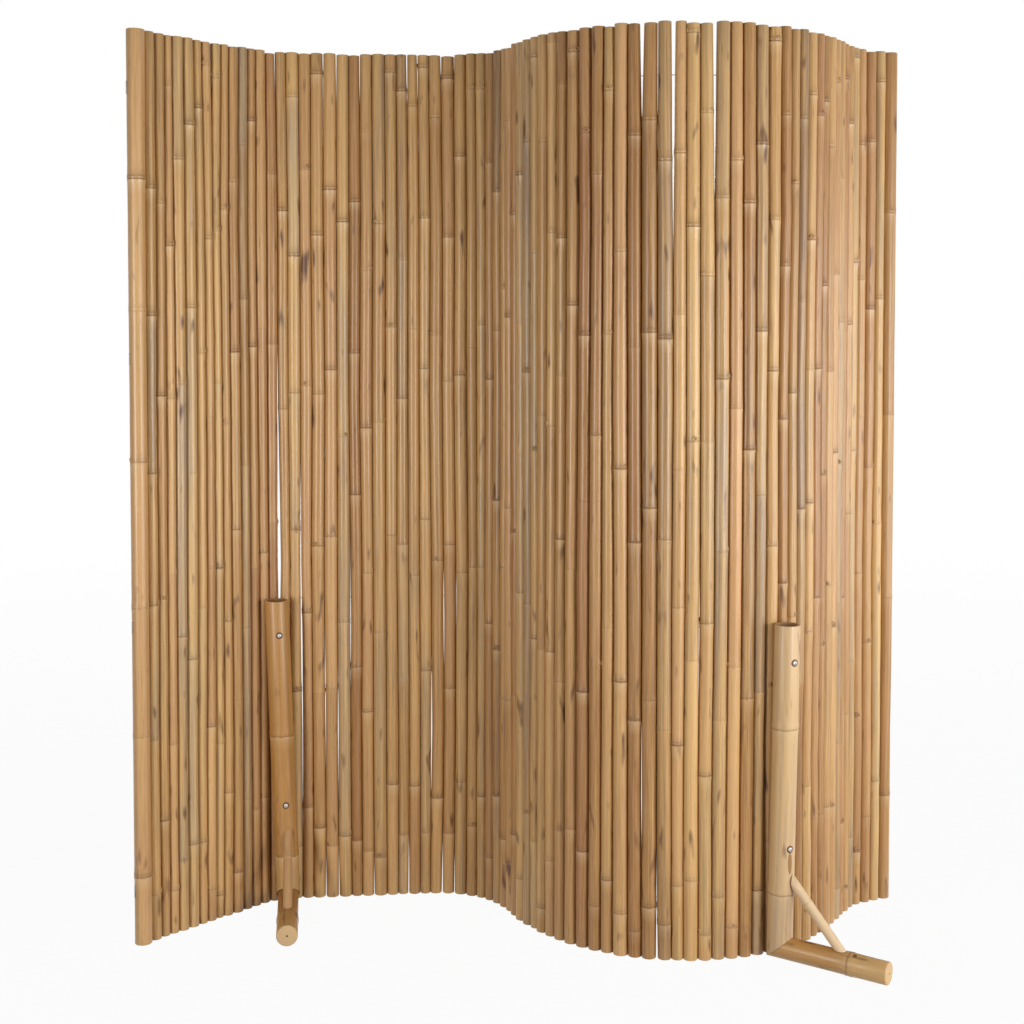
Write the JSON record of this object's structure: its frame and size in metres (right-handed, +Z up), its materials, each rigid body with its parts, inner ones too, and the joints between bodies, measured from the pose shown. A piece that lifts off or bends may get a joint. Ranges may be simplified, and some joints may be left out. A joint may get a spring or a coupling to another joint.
{
  "type": "bamboo fence panel",
  "caption": "Free-standing bamboo screen panel: upright canes threaded side by side on wires, standing in an S-shaped curve on two L-shaped bamboo feet.",
  "frame": {"origin": "on the floor, below the middle of the panel's bounding box", "axes": "+X along the panel to the right as seen from its front, +Y away from that viewer, +Z up along the canes"},
  "size_m": [1.5631, 0.4828, 1.8],
  "materials": {
    "cane": "natural bamboo, honey tan with darker nodes and streaks, satin varnish",
    "foot_culm": "natural thick bamboo, honey tan, satin",
    "peeled_cane": "peeled bamboo stick, pale and matte",
    "wire": "galvanised wire, dull grey",
    "screw": "zinc-plated screw heads"
  },
  "bodies": {
    "root": {"cane_pair_01": "cane", "cane_pair_02": "cane", "cane_pair_03": "cane", "cane_pair_04": "cane", "cane_pair_05": "cane", "cane_pair_06": "cane", "cane_pair_07": "cane", "cane_pair_08": "cane", "cane_pair_09": "cane", "cane_pair_10": "cane", "cane_pair_11": "cane", "cane_pair_12": "cane", "cane_pair_13": "cane", "cane_pair_14": "cane", "cane_pair_15": "cane", "cane_pair_16": "cane", "cane_pair_17": "cane", "cane_pair_18": "cane", "cane_pair_19": "cane", "cane_pair_20": "cane", "cane_pair_21": "cane", "cane_pair_22": "cane", "cane_pair_23": "cane", "cane_pair_24": "cane", "cane_pair_25": "cane", "cane_pair_26": "cane", "cane_pair_27": "cane", "cane_pair_28": "cane", "cane_pair_29": "cane", "cane_pair_30": "cane", "cane_pair_31": "cane", "cane_pair_32": "cane", "cane_pair_33": "cane", "cane_pair_34": "cane", "cane_pair_35": "cane", "cane_pair_36": "cane", "cane_pair_37": "cane", "cane_pair_38": "cane", "foot_screws": "screw", "left_brace": "peeled_cane", "left_foot_bar": "foot_culm", "left_upright": "foot_culm", "right_brace": "peeled_cane", "right_foot_bar": "foot_culm", "right_upright": "foot_culm", "wire_bottom": "wire", "wire_lower": "wire", "wire_top": "wire", "wire_upper": "wire"}
  },
  "joints": []
}
